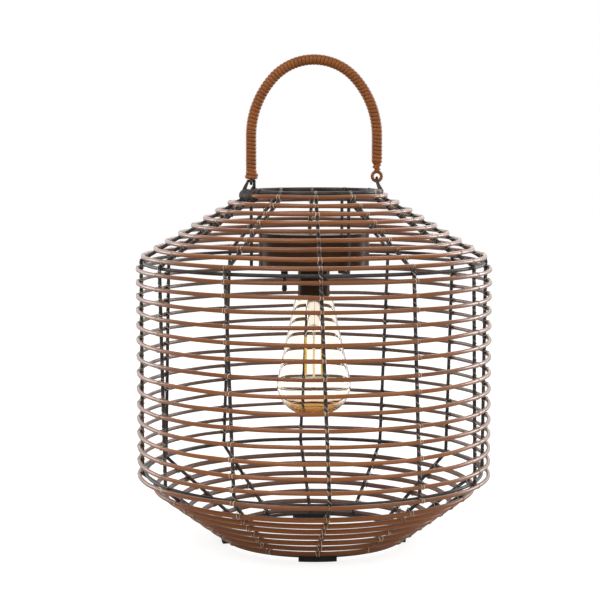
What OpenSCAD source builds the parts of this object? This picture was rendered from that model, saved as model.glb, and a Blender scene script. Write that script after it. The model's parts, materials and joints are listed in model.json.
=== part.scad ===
/* [Cage] */
// Radius from the lamp's axis to the centre of a rib on the straight wall
wall_r = 148.4; // [125:0.1:180]
// Height from the base ring up to the lower bend of the ribs
lower_cone_h = 56; // [45:0.5:75]
// Height of the straight wall, bend to bend
wall_h = 184; // [150:0.5:225]
// Height from the upper bend of the ribs up to the top ring
upper_cone_h = 59.2; // [48:0.1:72]
// Radius of the base ring, to the centre of its wire
base_ring_r = 78; // [65:0.5:95]
// Wire diameter of the ribs
rib_d = 3; // [2.5:0.1:3.6]
// Wire diameter of the base ring and the two shoulder rings
ring_d = 3; // [2.5:0.1:3.6]
// Wire diameter of the top ring
top_ring_d = 3.5; // [2.8:0.1:4.2]
// Number of ribs round the cage
rib_count = 12; // [12:1:12]
// Turn of the ribs from straight ahead at the top ring, in degrees
top_turn = 1.7; // [0:0.1:3]
// Turn of the ribs at their upper bend, in degrees
upper_turn = 2; // [0:0.1:6]
// Turn of the ribs at their lower bend, in degrees
lower_turn = 4.9; // [0:0.1:8]
// Turn of the ribs at the base ring, in degrees
base_turn = 2.4; // [0:0.1:6]

/* [Hoops] */
// Width of the strand, along the ribs
strand_w = 4; // [3:0.1:5]
// Thickness of the strand
strand_t = 2.6; // [2:0.1:3.2]
// Radius of the strand's rounded outer face
strand_crown_r = 2.3; // [2.1:0.1:4]
// Hoops on the upper cone
upper_hoop_count = 9; // [6:1:10]
// Hoops on the straight wall
wall_hoop_count = 15; // [10:1:18]
// Hoops on the lower cone
lower_hoop_count = 7; // [5:1:8]
// From the top ring to the first hoop, along a rib
upper_top_gap = 4.9; // [4.6:0.1:8]
// From the last hoop of the upper cone to the upper bend
upper_bend_gap = 3.6; // [3.4:0.1:8]
// From the upper bend down to the first hoop of the wall
wall_top_gap = 6.7; // [4:0.1:12]
// From the lower bend up to the last hoop of the wall
wall_bottom_gap = 0.5; // [0.5:0.1:8]
// How far the wall's hoops crowd towards the two shoulders
wall_crowding = 2.8; // [0:0.1:3.5]
// From the lower bend to the first hoop of the lower cone
lower_bend_gap = 16.2; // [8:0.1:20]
// From the last hoop of the lower cone to the base ring
lower_ring_gap = 4; // [3.9:0.1:8]

/* [Feet] */
// How far a foot stands below the base ring's wire
foot_drop = 3; // [2:0.1:5]
// Length of a foot along the base ring
foot_len = 31; // [20:1:40]
// Width of a foot across the base ring
foot_w = 5.2; // [4.6:0.1:5.2]
// Number of feet
foot_count = 4; // [3:1:4]

/* [Hanger legs] */
// Wire diameter of the legs that carry the light unit
hanger_d = 2.8; // [2.2:0.1:3.2]
// Number of legs
hanger_count = 3; // [3:1:3]
// Turn of the first leg from straight ahead, in degrees
hanger_turn = 32.5; // [32.5:0.1:34]
// Length of the foot that a leg turns in under the case
hanger_foot_len = 14; // [8:0.5:18]
// Gap between the case and a leg
case_clearance = 4.9; // [3:0.1:7]

/* [Handle] */
// Height of the hinge line over the top ring
hinge_rise = 8.8; // [8.8:0.1:12]
// Offset of the hinge line to the back, which clears the ribs and the legs
hinge_y = 2; // [1.8:0.1:2.4]
// Height from the hinge line to where the arch begins
arch_start_h = 38.3; // [30:0.1:50]
// Rise of the arch
arch_rise = 65; // [60:0.1:80]
// Radius of the top stretch of the arch
arch_top_r = 47; // [44:0.5:49]
// Diameter of the wire inside the handle
core_d = 4; // [3.4:0.1:4.6]
// Outer diameter of the strand wound on the handle
wrap_d = 8.2; // [7.6:0.1:9]
// Distance from one turn of the strand to the next
wrap_pitch = 3.25; // [3.2:0.05:3.8]
// Width of the strand wound on the handle
wrap_w = 2.4; // [1.8:0.1:2.5]
// Outer diameter of the thick end turn at the left
collar_d = 11.7; // [9:0.1:11.7]
// Height of the thick end turn
collar_h = 6.1; // [4:0.1:8]
// Wire diameter of the links that hold the handle
link_d = 2.4; // [2:0.1:2.6]
// Spread of the right link's feet along the top ring, each way
link_spread = 8.5; // [8:0.5:9]
// Outer diameter of the right eye
eye_d = 10.9; // [10.4:0.1:12]
// Thickness of the right eye with its cover
eye_bar_d = 3; // [2.6:0.1:3.1]
// Diameter of the wire wound on the top ring beside a link
lashing_d = 0.8; // [0.6:0.1:0.8]
// Turns of that wire at the left link; the right one has one fewer
lashing_turns = 4; // [3:1:4]

/* [Light unit] */
// Radius of the round case
case_r = 47.5; // [46:0.5:58]
// Height of the case
case_h = 30; // [28:0.5:40]
// Wall of the case
case_wall = 2.8; // [2.4:0.1:3.2]
// Floor of the case
case_floor = 2.2; // [1.8:0.1:3]
// From the middle of the top ring's wire down to the top of the case
case_drop = 35.2; // [30:0.1:45]
// Thickness of the battery cover
cover_t = 1.7; // [1.2:0.1:2.2]
// Width of the rim round the cover
rim_w = 1.4; // [1:0.1:1.6]
// Radius of the finger notch in the cover's edge
notch_r = 6; // [5:0.5:9]
// Outer radius of the bulb's holder
holder_r = 13.65; // [13:0.05:16]
// Wall of the holder
holder_wall = 1.25; // [1:0.05:1.8]
// How far the holder hangs below the case
holder_drop = 24.5; // [18:0.5:32]

/* [Bulb] */
// Length of the glass below the holder
glass_len = 103.5; // [90:0.5:125]
// Greatest radius of the glass
glass_r = 32; // [28:0.5:38]
// Radius of the rounded belly at the glass's low end
belly_r = 26; // [22:0.5:27]
// Radius of the glass's shoulder, just below the holder
shoulder_r = 16.5; // [15:0.5:20]
// Thickness of the glass
glass_wall = 1; // [0.7:0.1:1.4]
// Radius of the filaments' circle
filament_circle_r = 7; // [5:0.5:10]
// Length of a filament
filament_len = 33; // [25:1:40]
// Diameter of a filament
filament_d = 2; // [1.4:0.1:2.4]

/* [Batteries] */
// Diameter of a battery
battery_d = 14.5; // [13.5:0.1:14.5]
// Length of a battery with its nub
battery_len = 50.5; // [44:0.5:52]
// Number of batteries
battery_count = 3; // [3:1:3]
// Sideways place of the battery tray
tray_x = 3.6; // [3.4:0.1:5]

/* [Switch] */
// Sideways place of the switch
switch_x = -25.2; // [-26:0.1:-25]
// Front-to-back place of the switch
switch_y = -12; // [-16:0.5:-8]
// Length of the lever below the case
lever_drop = 20; // [16:0.5:26]
// Diameter of the lever's rounded end
lever_tip_d = 4.6; // [3.6:0.1:5]

/* [Hidden] */
$fn = 64;
weld_gap = 0.05;
seat_gap = 0.05;
bend_share = 1.02;
cut = 1;
sink = 0.1;

// Heights of the cage, from the table up
base_ring_z = foot_drop + ring_d / 2;
lower_bend_z = base_ring_z + lower_cone_h;
upper_bend_z = lower_bend_z + wall_h;
top_ring_z = upper_bend_z + upper_cone_h;

// The ribs run past the base ring's upper side and under the top ring
hanger_r = case_r + case_clearance + hanger_d / 2;
top_ring_r = hanger_r + hanger_d / 2 + weld_gap + top_ring_d / 2;
top_reach = (rib_d + top_ring_d) / 2 + weld_gap;
ring_reach = (rib_d + ring_d) / 2 + weld_gap;
upper_slope = tangent_slope(wall_r - top_ring_r, upper_cone_h, top_reach);
lower_slope = tangent_slope(wall_r - base_ring_r, lower_cone_h, ring_reach);
rib_end_short = 0.95;
rib_top = [top_ring_r - top_reach * sin(upper_slope) + rib_end_short * cos(upper_slope),
           top_ring_z - top_reach * cos(upper_slope) - rib_end_short * sin(upper_slope)];
rib_foot = [base_ring_r - ring_reach * sin(lower_slope),
            base_ring_z + ring_reach * cos(lower_slope)];
shoulder_ring_r = wall_r - ring_reach;
upper_ring_z = upper_bend_z - ring_reach * (1 / cos(upper_slope) - tan(upper_slope));
lower_ring_z = lower_bend_z + ring_reach * (1 / cos(lower_slope) - tan(lower_slope));
hoop_offset = rib_d / 2 + weld_gap + strand_t / 2;
upper_line_len = (wall_r - top_ring_r + top_reach * sin(upper_slope)) / cos(upper_slope);
lower_line_len = (wall_r - rib_foot[0]) / cos(lower_slope);

// Feet
foot_arc = foot_len / base_ring_r * 180 / PI;
foot_top = base_ring_z + 0.2;
foot_groove_r = ring_d / 2 + seat_gap;

// Case and what hangs in it
case_top = top_ring_z - case_drop;
case_low = case_top - case_h;
floor_top = case_low + case_floor;
hanger_foot_z = case_low - seat_gap - hanger_d / 2;
hanger_top_z = top_ring_z + 1.3;
case_in_r = case_r - case_wall;
cover_seat_z = case_top - cover_t - 0.1;
cover_r = case_r - rim_w - 0.2;
holder_low = case_low - holder_drop;
holder_hole_r = holder_r + 0.1;
flange_r = holder_r + 3.35;
flange_t = 2.2;
holder_bore_r = holder_r - holder_wall;
holder_bore_depth = 22;
lead_hole_r = 1.6;
neck_r = holder_bore_r - 0.2;
neck_top_z = holder_low + holder_bore_depth - 1;
neck_low_z = holder_low - 0.1;
shoulder_z = holder_low - 3.5;
glass_low = holder_low - glass_len;
belly_centre = [glass_r - belly_r, glass_low + belly_r];
belly_steps = 14;
flank = flank_angle();
stem_plug_r = neck_r - glass_wall - 0.1;
stem_flare_z = holder_low;
stem_press_z = holder_low - 26;
stem_low_z = glass_low + 31;
stem_rod_r = 1.6;
filament_low_z = glass_low + 34;
support_wire_d = 0.7;

// Battery tray, above the holder's flange
battery_pitch = battery_d + 0.7;
trough_r = battery_d / 2 + 0.2;
tray_floor = 1.5;
tray_low = floor_top + 6.1;
trough_z = tray_low + tray_floor + trough_r;
tray_wall = 2.2;
spring_len = 4.2;
spring_r = 3.6;
spring_wire_d = 0.7;
plate_t = 0.4;
tray_in_len = battery_len + spring_len + plate_t + 0.4;
tray_len = tray_in_len + 2 * tray_wall;
tray_w = (battery_count - 1) * battery_pitch + 2 * trough_r + 2.4;
battery_y0 = -tray_in_len / 2 + spring_len + 0.2;
nub_len = 1;
nub_r = 2.75;
boss_r = 3.5;
boss_y = 24;
boss_h = tray_low - floor_top - seat_gap;
boss_bore_low = 0.5;
boss_bore_r = 1.45;
screw_head_r = 2.6;
screw_head_t = 1.7;
screw_seat_z = tray_low + 1.2;
tray_hole_r = boss_bore_r + 0.15;
screw_r = 1.4;
screw_len = 6;

// Circuit board, beside the tray
board_size = [14, 20, 1.6];
board_at = [-37, 2];
board_post_h = 2;
board_post_r = 2;
board_z = floor_top + board_post_h + seat_gap;
wire_d = 1.4;
lead_room = 0.3;
lead_bead = 1.06;
lead_rise = 2;

// Switch
switch_body_size = [8, 13, 9];
bushing_r = 3;
bushing_hole_r = bushing_r + 0.1;
bushing_drop = 6;
bushing_bore_r = 2.5;
ball_r = 2.42;
ball_z = case_low - 2.8;
lip_r = 2.2;
lip_h = 1.2;
shank_r = 1.3;
nut_r = 5;
nut_t = 2.4;
lever_low = case_low - lever_drop;

// Handle, in the plane of its arch
hinge_z = top_ring_z + hinge_rise;
collar_clearance = 0.55;
half_span = case_r + collar_clearance + collar_d / 2;
arch_z = hinge_z + arch_start_h;
arch_side_r = (pow(half_span, 2) + pow(arch_rise - arch_top_r, 2) - pow(arch_top_r, 2))
              / (2 * (half_span - arch_top_r));
arch_join = atan2(arch_rise - arch_top_r, arch_side_r - half_span);
arch_top_z = arch_z + arch_rise - arch_top_r;
arch_join_x = arch_top_r * cos(arch_join);
arch_join_z = arch_top_z + arch_top_r * sin(arch_join);
collar_low = 1.7;
left_rod_low = hinge_z + collar_low + 0.1;
eye_room = 0.1;
left_eye_d = 2.4;
left_eye_r = link_d / 2 + eye_room + left_eye_d / 2;
right_eye_r = (eye_d - eye_bar_d) / 2;
right_eye_wire_r = 0.9;
right_rod_low = hinge_z + 2 * right_eye_r;
link_arch_r = eye_bar_d / 2 + eye_room + link_d / 2;
link_half = left_eye_d / 2 + 0.3 + link_d / 2;
link_foot_reach = (top_ring_d + link_d) / 2 + weld_gap;
left_foot_z = top_ring_z + 0.4;
lashing_pitch = lashing_d + 0.55;

// Strand wound on the handle
wrap_sides = 6;
wrap_rings = 8;
wrap_in_r = (core_d / 2 + seat_gap) / cos(180 / wrap_rings);
wrap_out_r = wrap_d / 2;
wrap_low_left = hinge_z + collar_low + collar_h + wrap_w / 2 + 0.3;
wrap_low_right = hinge_z + 2 * right_eye_r + eye_bar_d / 2 + wrap_w / 2 + 0.3;
leg_left = arch_z - wrap_low_left;
leg_right = arch_z - wrap_low_right;
side_len = arch_side_r * arch_join * PI / 180;
top_len = arch_top_r * (180 - 2 * arch_join) * PI / 180;
wrap_len = leg_left + 2 * side_len + top_len + leg_right;
wrap_steps = floor(wrap_len / wrap_pitch * wrap_rings);

NODES = [
    "top_ring", "upper_shoulder_ring", "lower_shoulder_ring", "base_ring",
    "rib_01", "rib_02", "rib_03", "rib_04", "rib_05", "rib_06",
    "rib_07", "rib_08", "rib_09", "rib_10", "rib_11", "rib_12",
    "upper_hoops", "wall_hoops", "lower_hoops", "base_feet",
    "hanger_leg_1", "hanger_leg_2", "hanger_leg_3",
    "link_left", "link_right", "lashing_left", "lashing_right",
    "handle_core", "handle_wrap", "handle_collar", "handle_eye_cover",
    "lamp_case", "battery_cover", "battery_tray", "tray_screws",
    "battery_1", "battery_2", "battery_3", "contact_springs", "contact_plates",
    "circuit_board", "board_parts", "hookup_wires",
    "switch_body", "switch_nut", "switch_lever",
    "bulb_holder", "bulb_glass", "bulb_stem", "led_filaments", "filament_wires"
];

rib_nodes = [for (i = [4 : 15]) NODES[i]];

// Slope of a line that starts at a bend and grazes a circle of the given reach,
// whose centre lies run inwards and rise away
function tangent_slope(run, rise, reach) = atan2(rise, run) - asin(reach / norm([run, rise]));

// Point at a radius and height, turned from straight ahead towards the right
function around(r, turn, z) = [r * sin(turn), -r * cos(turn), z];

// The four points of a rib's centre line, from the top ring down
function rib_points(i) =
    let (step = 360 / rib_count * i)
    [around(rib_top[0], step + top_turn, rib_top[1]),
     around(wall_r, step + upper_turn, upper_bend_z),
     around(wall_r, step + lower_turn, lower_bend_z),
     around(rib_foot[0], step + base_turn, rib_foot[1])];

// Angle from upright of the glass's flank, which grazes the belly's circle
function flank_angle() =
    let (across = shoulder_r - belly_centre[0], up = shoulder_z - belly_centre[1])
    asin(belly_r / norm([across, up])) - atan2(across, up);

// Half outline of the bulb's glass, moved inwards by inset
function glass_outline(inset, neck_end) = concat(
    [[0, glass_low + inset]],
    [for (i = [0 : belly_steps])
        let (a = -90 + (90 + flank) * i / belly_steps)
        belly_centre + (belly_r - inset) * [cos(a), sin(a)]],
    [[shoulder_r - inset, shoulder_z],
     [neck_r - inset, neck_low_z],
     [neck_r - inset, neck_end],
     [0, neck_end]]
);

// Place and outward direction on the handle's centre line, a distance along the winding
function handle_at(s) =
    s < leg_left
        ? [[-half_span, wrap_low_left + s], 180]
    : s < leg_left + side_len
        ? arc_at([arch_side_r - half_span, arch_z], arch_side_r,
                 180 - (s - leg_left) / arch_side_r * 180 / PI)
    : s < leg_left + side_len + top_len
        ? arc_at([0, arch_top_z], arch_top_r,
                 180 - arch_join - (s - leg_left - side_len) / arch_top_r * 180 / PI)
    : s < leg_left + 2 * side_len + top_len
        ? arc_at([half_span - arch_side_r, arch_z], arch_side_r,
                 arch_join - (s - leg_left - side_len - top_len) / arch_side_r * 180 / PI)
    : [[half_span, arch_z - (s - leg_left - 2 * side_len - top_len)], 0];

function arc_at(centre, r, a) = [centre + r * [cos(a), sin(a)], a];

// Six corners of a flat strand's section: distance from the core's axis, place along it
function strand_corners(in_r, out_r, w) =
    [[in_r, -0.3 * w], [(in_r + out_r) / 2, -w / 2], [out_r, -0.3 * w],
     [out_r, 0.3 * w], [(in_r + out_r) / 2, w / 2], [in_r, 0.3 * w]];

// One ring of the handle's winding
function wrap_ring(k) =
    let (s = k * wrap_pitch / wrap_rings,
         place = handle_at(s),
         turn = 360 * k / wrap_rings,
         out = [cos(place[1]), 0, sin(place[1])],
         along = [sin(place[1]), 0, -cos(place[1])],
         lift = cos(turn) * out + sin(turn) * [0, 1, 0],
         centre = [place[0][0], hinge_y, place[0][1]])
    [for (c = strand_corners(wrap_in_r, wrap_out_r, wrap_w)) centre + c[0] * lift + c[1] * along];

// One ring of a lashing wound on the top ring, its middle at a given turn
function lashing_ring(k, first_turn, pitch_turn) =
    let (turn = first_turn + pitch_turn * k / wrap_rings,
         spin = 360 * k / wrap_rings,
         out = around(1, turn, 0),
         along = around(1, turn + 90, 0),
         in_r = (top_ring_d / 2 + weld_gap) / cos(180 / wrap_rings),
         lift = cos(spin) * out + sin(spin) * [0, 0, 1])
    [for (c = strand_corners(in_r, in_r + lashing_d * 0.85, lashing_d))
        around(top_ring_r, turn, top_ring_z) + c[0] * lift + c[1] * along];

// Least distance between the corners of neighbouring turns of a winding
function least_gap(rings) =
    min([for (k = [0 : len(rings) - wrap_rings])
        for (j = [wrap_rings - 2 : min(wrap_rings + 2, len(rings) - 1 - k)])
            for (p = rings[k])
                for (q = rings[k + j]) norm(p - q)]);

// Closed tube through rings of corners
module wound_tube(rings) {
    last = len(rings) - 1;
    sides = wrap_sides;
    walls = [for (k = [0 : last - 1])
        for (i = [0 : sides - 1])
            for (half = [0, 1])
                let (a = k * sides + i, b = k * sides + (i + 1) % sides)
                half == 0 ? [a, b, b + sides] : [a, b + sides, a + sides]];
    start_cap = [for (i = [1 : sides - 2]) [0, i + 1, i]];
    end_cap = [for (i = [1 : sides - 2]) [last * sides, last * sides + i, last * sides + i + 1]];
    polyhedron([for (ring = rings) for (p = ring) p], concat(walls, start_cap, end_cap));
}

// Straight wire from p to q
module rod(p, q, d) {
    v = q - p;
    translate(p)
        rotate([0, acos(v[2] / norm(v)), atan2(v[1], v[0])])
            cylinder(d = d, h = norm(v));
}

// Wire through a list of points, with a rounded bend at each inner one
module bent_wire(points, d, bead = bend_share) {
    last = len(points) - 1;
    for (i = [1 : last]) {
        rod(points[i - 1], points[i], d);
        if (i < last)
            translate(points[i]) sphere(d = bead * d);
    }
}

module wire_ring(r, d, z) {
    translate([0, 0, z])
        rotate_extrude()
            translate([r, 0]) circle(d = d);
}

// Section of the strand: flat inside, crowned outside, long side along y
module strand_section() {
    intersection() {
        translate([-strand_t / 2, -strand_w / 2]) square([strand_t, strand_w]);
        translate([strand_t / 2 - strand_crown_r, 0]) circle(r = strand_crown_r);
    }
}

// Hoop whose section faces outwards at a tilt above level
module hoop(foot, tilt) {
    rotate_extrude($fn = 96)
        translate(foot + hoop_offset * [cos(tilt), sin(tilt)])
            rotate(tilt) strand_section();
}

module rib(i) {
    color("dimgray") bent_wire(rib_points(i), rib_d);
}

module top_ring() {
    color("dimgray") wire_ring(top_ring_r, top_ring_d, top_ring_z);
}

module upper_shoulder_ring() {
    color("dimgray") wire_ring(shoulder_ring_r, ring_d, upper_ring_z);
}

module lower_shoulder_ring() {
    color("dimgray") wire_ring(shoulder_ring_r, ring_d, lower_ring_z);
}

module base_ring() {
    color("dimgray") wire_ring(base_ring_r, ring_d, base_ring_z);
}

module upper_hoops() {
    room = upper_line_len - upper_top_gap - upper_bend_gap;
    color("sienna")
        for (k = [0 : upper_hoop_count - 1])
            let (s = upper_bend_gap + room * k / (upper_hoop_count - 1))
            hoop([wall_r - s * cos(upper_slope), upper_bend_z + s * sin(upper_slope)],
                 90 - upper_slope);
}

module wall_hoops() {
    room = wall_h - wall_top_gap - wall_bottom_gap;
    last = wall_hoop_count - 1;
    color("sienna")
        for (k = [0 : last])
            let (z = upper_bend_z - wall_top_gap - room * k / last + wall_crowding * sin(360 * k / last))
            hoop([wall_r, z], 0);
}

module lower_hoops() {
    room = lower_line_len - lower_bend_gap - lower_ring_gap;
    color("saddlebrown")
        for (k = [0 : lower_hoop_count - 1])
            let (s = lower_bend_gap + room * k / (lower_hoop_count - 1))
            hoop([wall_r - s * cos(lower_slope), lower_bend_z - s * sin(lower_slope)],
                 lower_slope - 90);
}

// Saddles pushed on to the base ring from below, flat where they stand
module base_feet() {
    color("black")
        for (i = [0 : foot_count - 1])
            rotate(base_turn + 360 / foot_count * i - 90 - foot_arc / 2)
                rotate_extrude(angle = foot_arc)
                    difference() {
                        translate([base_ring_r - foot_w / 2, 0]) square([foot_w, foot_top]);
                        translate([base_ring_r, base_ring_z]) circle(r = foot_groove_r);
                    }
}

// Leg from the top ring down past the case, turned in under it
module hanger_leg(i) {
    turn = hanger_turn + 360 / hanger_count * i;
    color("dimgray")
        bent_wire([around(hanger_r, turn, hanger_top_z),
                   around(hanger_r, turn, hanger_foot_z),
                   around(hanger_r - hanger_foot_len, turn, hanger_foot_z)], hanger_d);
}

// Hairpin over the hinge line, its two legs astride the top ring
module link_left() {
    foot_x = sqrt(pow(top_ring_r, 2) - pow(hinge_y, 2));
    color("dimgray")
        bent_wire([[-foot_x - link_foot_reach, hinge_y, left_foot_z],
                   [-half_span - link_half, hinge_y, hinge_z],
                   [-half_span + link_half, hinge_y, hinge_z],
                   [-half_span + link_half, hinge_y, hinge_z - left_eye_r - left_eye_d / 2],
                   [-foot_x + link_foot_reach, hinge_y, left_foot_z]], link_d);
}

// Hairpin through the right eye, its two feet on the top ring
module link_right() {
    color("dimgray") {
        translate([half_span, hinge_y, hinge_z])
            rotate([90, 0, 90])
                rotate_extrude(angle = 180)
                    translate([link_arch_r, 0]) circle(d = link_d);
        for (side = [-1, 1])
            let (y = hinge_y + side * link_spread,
                 x = sqrt(pow(top_ring_r, 2) - pow(y, 2)))
            bent_wire([[half_span, hinge_y + side * link_arch_r, hinge_z],
                       [x, y, top_ring_z + link_foot_reach],
                       [x, y, top_ring_z + link_foot_reach]
                       + 0.5 * link_d * unit([x - half_span, side * link_spread, 0])], link_d);
    }
}

function unit(v) = v / norm(v);

// Wire wound on the top ring, its last turn a distance in front of or behind the lamp's middle
module lashing(turns, side, past) {
    pitch_turn = lashing_pitch / top_ring_r * 180 / PI;
    first_turn = 180 + 90 * side - (turns + past / lashing_pitch) * pitch_turn;
    rings = [for (k = [0 : turns * wrap_rings]) lashing_ring(k, first_turn, pitch_turn)];
    echo(lashing_least_gap = least_gap(rings));
    color("dimgray") wound_tube(rings);
}

module lashing_left() {
    lashing(lashing_turns, 1, 3.8);
}

module lashing_right() {
    lashing(lashing_turns - 1, -1, 0.4);
}

// Upright arc in the handle's plane
module handle_arc(centre_x, centre_z, r, from, to) {
    translate([centre_x, hinge_y, centre_z])
        rotate([90, 0, 0])
            rotate(from)
                rotate_extrude(angle = to - from)
                    translate([r, 0]) circle(d = core_d);
}

// Wire of the handle, with an eye bent in each end
module handle_core() {
    color("dimgray") {
        rod([-half_span, hinge_y, left_rod_low], [-half_span, hinge_y, arch_z], core_d);
        handle_bead(-half_span, arch_z);
        handle_arc(arch_side_r - half_span, arch_z, arch_side_r, 180 - arch_join, 180);
        handle_bead(-arch_join_x, arch_join_z);
        handle_arc(0, arch_top_z, arch_top_r, arch_join, 180 - arch_join);
        handle_bead(arch_join_x, arch_join_z);
        handle_arc(half_span - arch_side_r, arch_z, arch_side_r, 0, arch_join);
        handle_bead(half_span, arch_z);
        rod([half_span, hinge_y, right_rod_low], [half_span, hinge_y, arch_z], core_d);
        translate([-half_span, hinge_y, hinge_z])
            rotate([0, 90, 0])
                rotate_extrude() translate([left_eye_r, 0]) circle(d = left_eye_d);
        right_eye() circle(r = right_eye_wire_r);
    }
}

// Full round where two stretches of the handle's wire meet
module handle_bead(x, z) {
    translate([x, hinge_y, z]) sphere(d = bend_share * core_d);
}

// Ring in the handle's plane with the given section, its lowest point on the hinge line
module right_eye() {
    translate([half_span, hinge_y, hinge_z + right_eye_r])
        rotate([90, 0, 0])
            rotate_extrude()
                translate([right_eye_r, 0]) children();
}

module handle_wrap() {
    rings = [for (k = [0 : wrap_steps]) wrap_ring(k)];
    echo(wrap_turns = wrap_steps / wrap_rings, wrap_least_gap = least_gap(rings));
    color("sienna") wound_tube(rings);
}

// Thick end turn of the strand, with room for the eye below it
module handle_collar() {
    round_r = collar_h / 2;
    color("sienna")
        translate([-half_span, hinge_y, hinge_z + collar_low])
            difference() {
                rotate_extrude()
                    difference() {
                        union() {
                            square([collar_d / 2 - round_r, collar_h]);
                            translate([collar_d / 2 - round_r, round_r]) circle(r = round_r);
                        }
                        translate([-round_r, -cut])
                            square([round_r + core_d / 2 + seat_gap, collar_h + 2 * cut]);
                    }
                translate([-left_eye_d / 2 - eye_room, 0, -collar_low])
                    rotate([0, 90, 0])
                        cylinder(r = left_eye_r + left_eye_d / 2 + eye_room, h = left_eye_d + 2 * eye_room);
            }
}

module handle_eye_cover() {
    color("sienna")
        difference() {
            right_eye()
                difference() {
                    circle(r = eye_bar_d / 2);
                    circle(r = right_eye_wire_r + seat_gap);
                }
            translate([half_span, hinge_y, right_rod_low - right_eye_wire_r])
                cylinder(r = core_d / 2 + seat_gap, h = arch_start_h);
        }
}

// Round cup, open at the top, with the cover's seat in its rim
module lamp_case() {
    color("#2b2523")
        difference() {
            union() {
                difference() {
                    translate([0, 0, case_low]) cylinder(r = case_r, h = case_h);
                    translate([0, 0, floor_top]) cylinder(r = case_in_r, h = case_h);
                    translate([0, 0, cover_seat_z]) cylinder(r = case_r - rim_w, h = case_h);
                }
                tray_bosses(floor_top - sink) cylinder(r = boss_r, h = boss_h + sink);
                board_posts(floor_top - sink) cylinder(r = board_post_r, h = board_post_h + sink);
            }
            translate([0, 0, case_low - cut]) cylinder(r = holder_hole_r, h = case_floor + 2 * cut);
            translate([switch_x, switch_y, case_low - cut])
                cylinder(r = bushing_hole_r, h = case_floor + 2 * cut);
            tray_bosses(floor_top + boss_bore_low) cylinder(r = boss_bore_r, h = boss_h);
        }
}

// Puts a child at a height under each screw of the tray
module tray_bosses(z) {
    for (x = [-0.5, 0.5], y = [-1, 1])
        translate([tray_x + x * battery_pitch, y * boss_y, z]) children();
}

// Puts a child at a height under each end of the circuit board
module board_posts(z) {
    for (y = [0.2, 0.8])
        translate([board_at[0] + board_size[0] / 2, board_at[1] + y * board_size[1], z]) children();
}

// Disc in the case's rim, with a notch to lift it by
module battery_cover() {
    color("#2b2523")
        difference() {
            translate([0, 0, cover_seat_z + seat_gap]) cylinder(r = cover_r, h = cover_t);
            translate([0, cover_r + notch_r / 2, cover_seat_z - cut])
                cylinder(r = notch_r, h = cover_t + 2 * cut);
        }
}

// Open block with one round-bottomed trough for each battery
module battery_tray() {
    color("#3a3a3a")
        difference() {
            translate([tray_x - tray_w / 2, -tray_len / 2, tray_low])
                cube([tray_w, tray_len, trough_z - tray_low]);
            for (i = [0 : battery_count - 1])
                translate([battery_x(i), -tray_in_len / 2, trough_z])
                    rotate([-90, 0, 0]) cylinder(r = trough_r, h = tray_in_len);
            tray_bosses(tray_low - cut) cylinder(r = tray_hole_r, h = tray_w);
            tray_bosses(screw_seat_z) cylinder(r = screw_head_r + 0.2, h = tray_w);
        }
}

function battery_x(i) = tray_x + (i - (battery_count - 1) / 2) * battery_pitch;

module tray_screws() {
    color("silver")
        tray_bosses(screw_seat_z + seat_gap) {
            cylinder(r = screw_head_r, h = screw_head_t);
            translate([0, 0, -screw_len]) cylinder(r = screw_r, h = screw_len + sink);
        }
}

// Neighbouring batteries lie head to tail
module battery(i) {
    flip = i % 2 == 0 ? 0 : 180;
    color("goldenrod")
        translate([battery_x(i), 0, trough_z])
            rotate([0, 0, flip])
                translate([0, battery_y0, 0])
                    rotate([-90, 0, 0]) {
                        cylinder(d = battery_d, h = battery_len - nub_len);
                        cylinder(r = nub_r, h = battery_len);
                    }
}

module contact_springs() {
    color("silver")
        for (i = [0 : battery_count - 1])
            translate([battery_x(i), 0, trough_z])
                rotate([0, 0, i % 2 == 0 ? 0 : 180])
                    translate([0, -tray_in_len / 2 + seat_gap, 0])
                        rotate([-90, 0, 0])
                            difference() {
                                cylinder(r = spring_r, h = spring_len);
                                translate([0, 0, -cut])
                                    cylinder(r = spring_r - spring_wire_d, h = spring_len + 2 * cut);
                            }
}

module contact_plates() {
    color("silver")
        for (i = [0 : battery_count - 1])
            translate([battery_x(i), 0, trough_z])
                rotate([0, 0, i % 2 == 0 ? 0 : 180])
                    translate([-4, tray_in_len / 2 - plate_t - seat_gap, -5]) cube([8, plate_t, 9]);
}

module circuit_board() {
    color("darkgreen")
        translate([board_at[0], board_at[1], board_z]) cube(board_size);
}

module board_parts() {
    top = board_z + board_size[2] + seat_gap;
    color("#202020") {
        translate([board_at[0] + 4, board_at[1] + 7, top]) cube([6, 5, 1.5]);
        translate([board_at[0] + 4, board_at[1] + 15.5, top]) cylinder(d = 5, h = 7);
        translate([board_at[0] + 10.5, board_at[1] + 3, top]) cube([2, 1.2, 0.8]);
        translate([board_at[0] + 10.5, board_at[1] + 15, top]) cube([2, 1.2, 0.8]);
    }
}

// Leads from the board to the bulb's holder and to the switch
module hookup_wires() {
    lead_z = board_z + board_size[2] / 2;
    holder_top = floor_top + flange_t + wire_d / 2 + lead_room;
    board_edge = board_at[0] + board_size[0] + lead_room;
    color("firebrick")
        for (y = [4, 8])
            bent_wire([[board_edge, y, lead_z],
                       [board_edge + 6, y - 1, holder_top + lead_rise],
                       [-6, y - 6, holder_top + lead_room]], wire_d, lead_bead);
    color("black")
        for (x = [0, 3])
            bent_wire([[board_at[0] + 8 + x, board_at[1] - lead_room, lead_z],
                       [switch_x - 2 + x, board_at[1] - 4, lead_z],
                       [switch_x - 2 + x, switch_y + switch_body_size[1] / 2 + seat_gap, lead_z]],
                      wire_d, lead_bead);
}

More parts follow.
